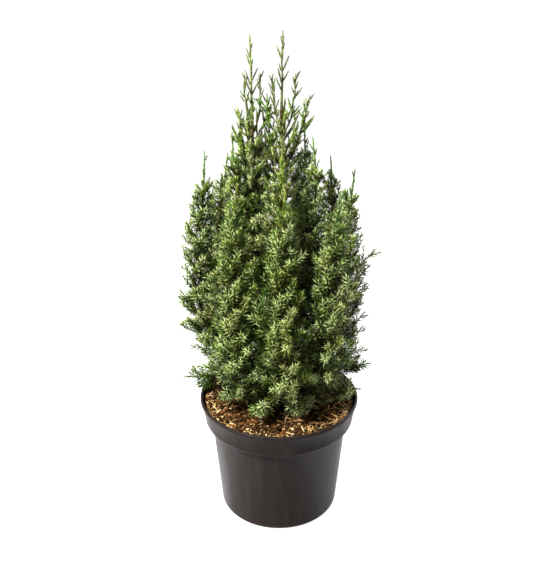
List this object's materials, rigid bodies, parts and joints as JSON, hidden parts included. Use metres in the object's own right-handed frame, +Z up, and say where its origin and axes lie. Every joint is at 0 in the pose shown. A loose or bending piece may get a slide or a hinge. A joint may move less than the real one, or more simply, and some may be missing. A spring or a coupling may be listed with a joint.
{
  "type": "potted chinese juniper",
  "caption": "Upright conifer shrub with twin leaders and plumes of needled twigs, in a round tapered nursery pot with a wide rim band and bark-topped compost.",
  "frame": {"origin": "centre of the pot's flat underside, on the surface that it stands on", "axes": "+Z up along the trunk; +X to the right as seen from the front; the front of the crown faces -Y"},
  "size_m": [0.2739, 0.2485, 0.693],
  "materials": {
    "pot_plastic": "moulded warm black plastic with a low sheen",
    "bark_compost": "rough shredded bark mulch over dark compost",
    "juniper_bark": "thin red-brown bark, fibrous and matt",
    "juniper_needles": "green needles, slightly waxy"
  },
  "bodies": {
    "root": {"pot": "pot_plastic", "soil": "bark_compost", "trunk": "juniper_bark", "left_leader": "juniper_bark", "bough_outer_1": "juniper_bark", "bough_outer_2": "juniper_bark", "bough_outer_3": "juniper_bark", "bough_outer_4": "juniper_bark", "bough_outer_5": "juniper_bark", "bough_outer_6": "juniper_bark", "bough_outer_7": "juniper_bark", "bough_outer_8": "juniper_bark", "bough_outer_9": "juniper_bark", "bough_inner_1": "juniper_bark", "bough_inner_2": "juniper_bark", "bough_inner_3": "juniper_bark", "bough_inner_4": "juniper_bark", "bough_inner_5": "juniper_bark", "foliage_outer_1": "juniper_needles", "foliage_outer_2": "juniper_needles", "foliage_outer_3": "juniper_needles", "foliage_outer_4": "juniper_needles", "foliage_outer_5": "juniper_needles", "foliage_outer_6": "juniper_needles", "foliage_outer_7": "juniper_needles", "foliage_outer_8": "juniper_needles", "foliage_outer_9": "juniper_needles", "foliage_inner_1": "juniper_needles", "foliage_inner_2": "juniper_needles", "foliage_inner_3": "juniper_needles", "foliage_inner_4": "juniper_needles", "foliage_inner_5": "juniper_needles", "foliage_skirt_1": "juniper_needles", "foliage_skirt_2": "juniper_needles", "foliage_skirt_3": "juniper_needles", "foliage_skirt_4": "juniper_needles", "foliage_skirt_5": "juniper_needles", "foliage_skirt_6": "juniper_needles", "foliage_skirt_7": "juniper_needles", "foliage_skirt_8": "juniper_needles", "foliage_skirt_9": "juniper_needles", "foliage_trunk_right_low": "juniper_needles", "foliage_trunk_left_low": "juniper_needles", "foliage_trunk_front_low": "juniper_needles", "foliage_trunk_right_high": "juniper_needles", "foliage_trunk_left_high": "juniper_needles", "foliage_leader_left_low": "juniper_needles", "foliage_leader_front_low": "juniper_needles", "foliage_leader_back_low": "juniper_needles", "foliage_leader_left_high": "juniper_needles", "foliage_leader_right_high": "juniper_needles", "right_spire": "juniper_needles", "left_spire": "juniper_needles"}
  },
  "joints": []
}
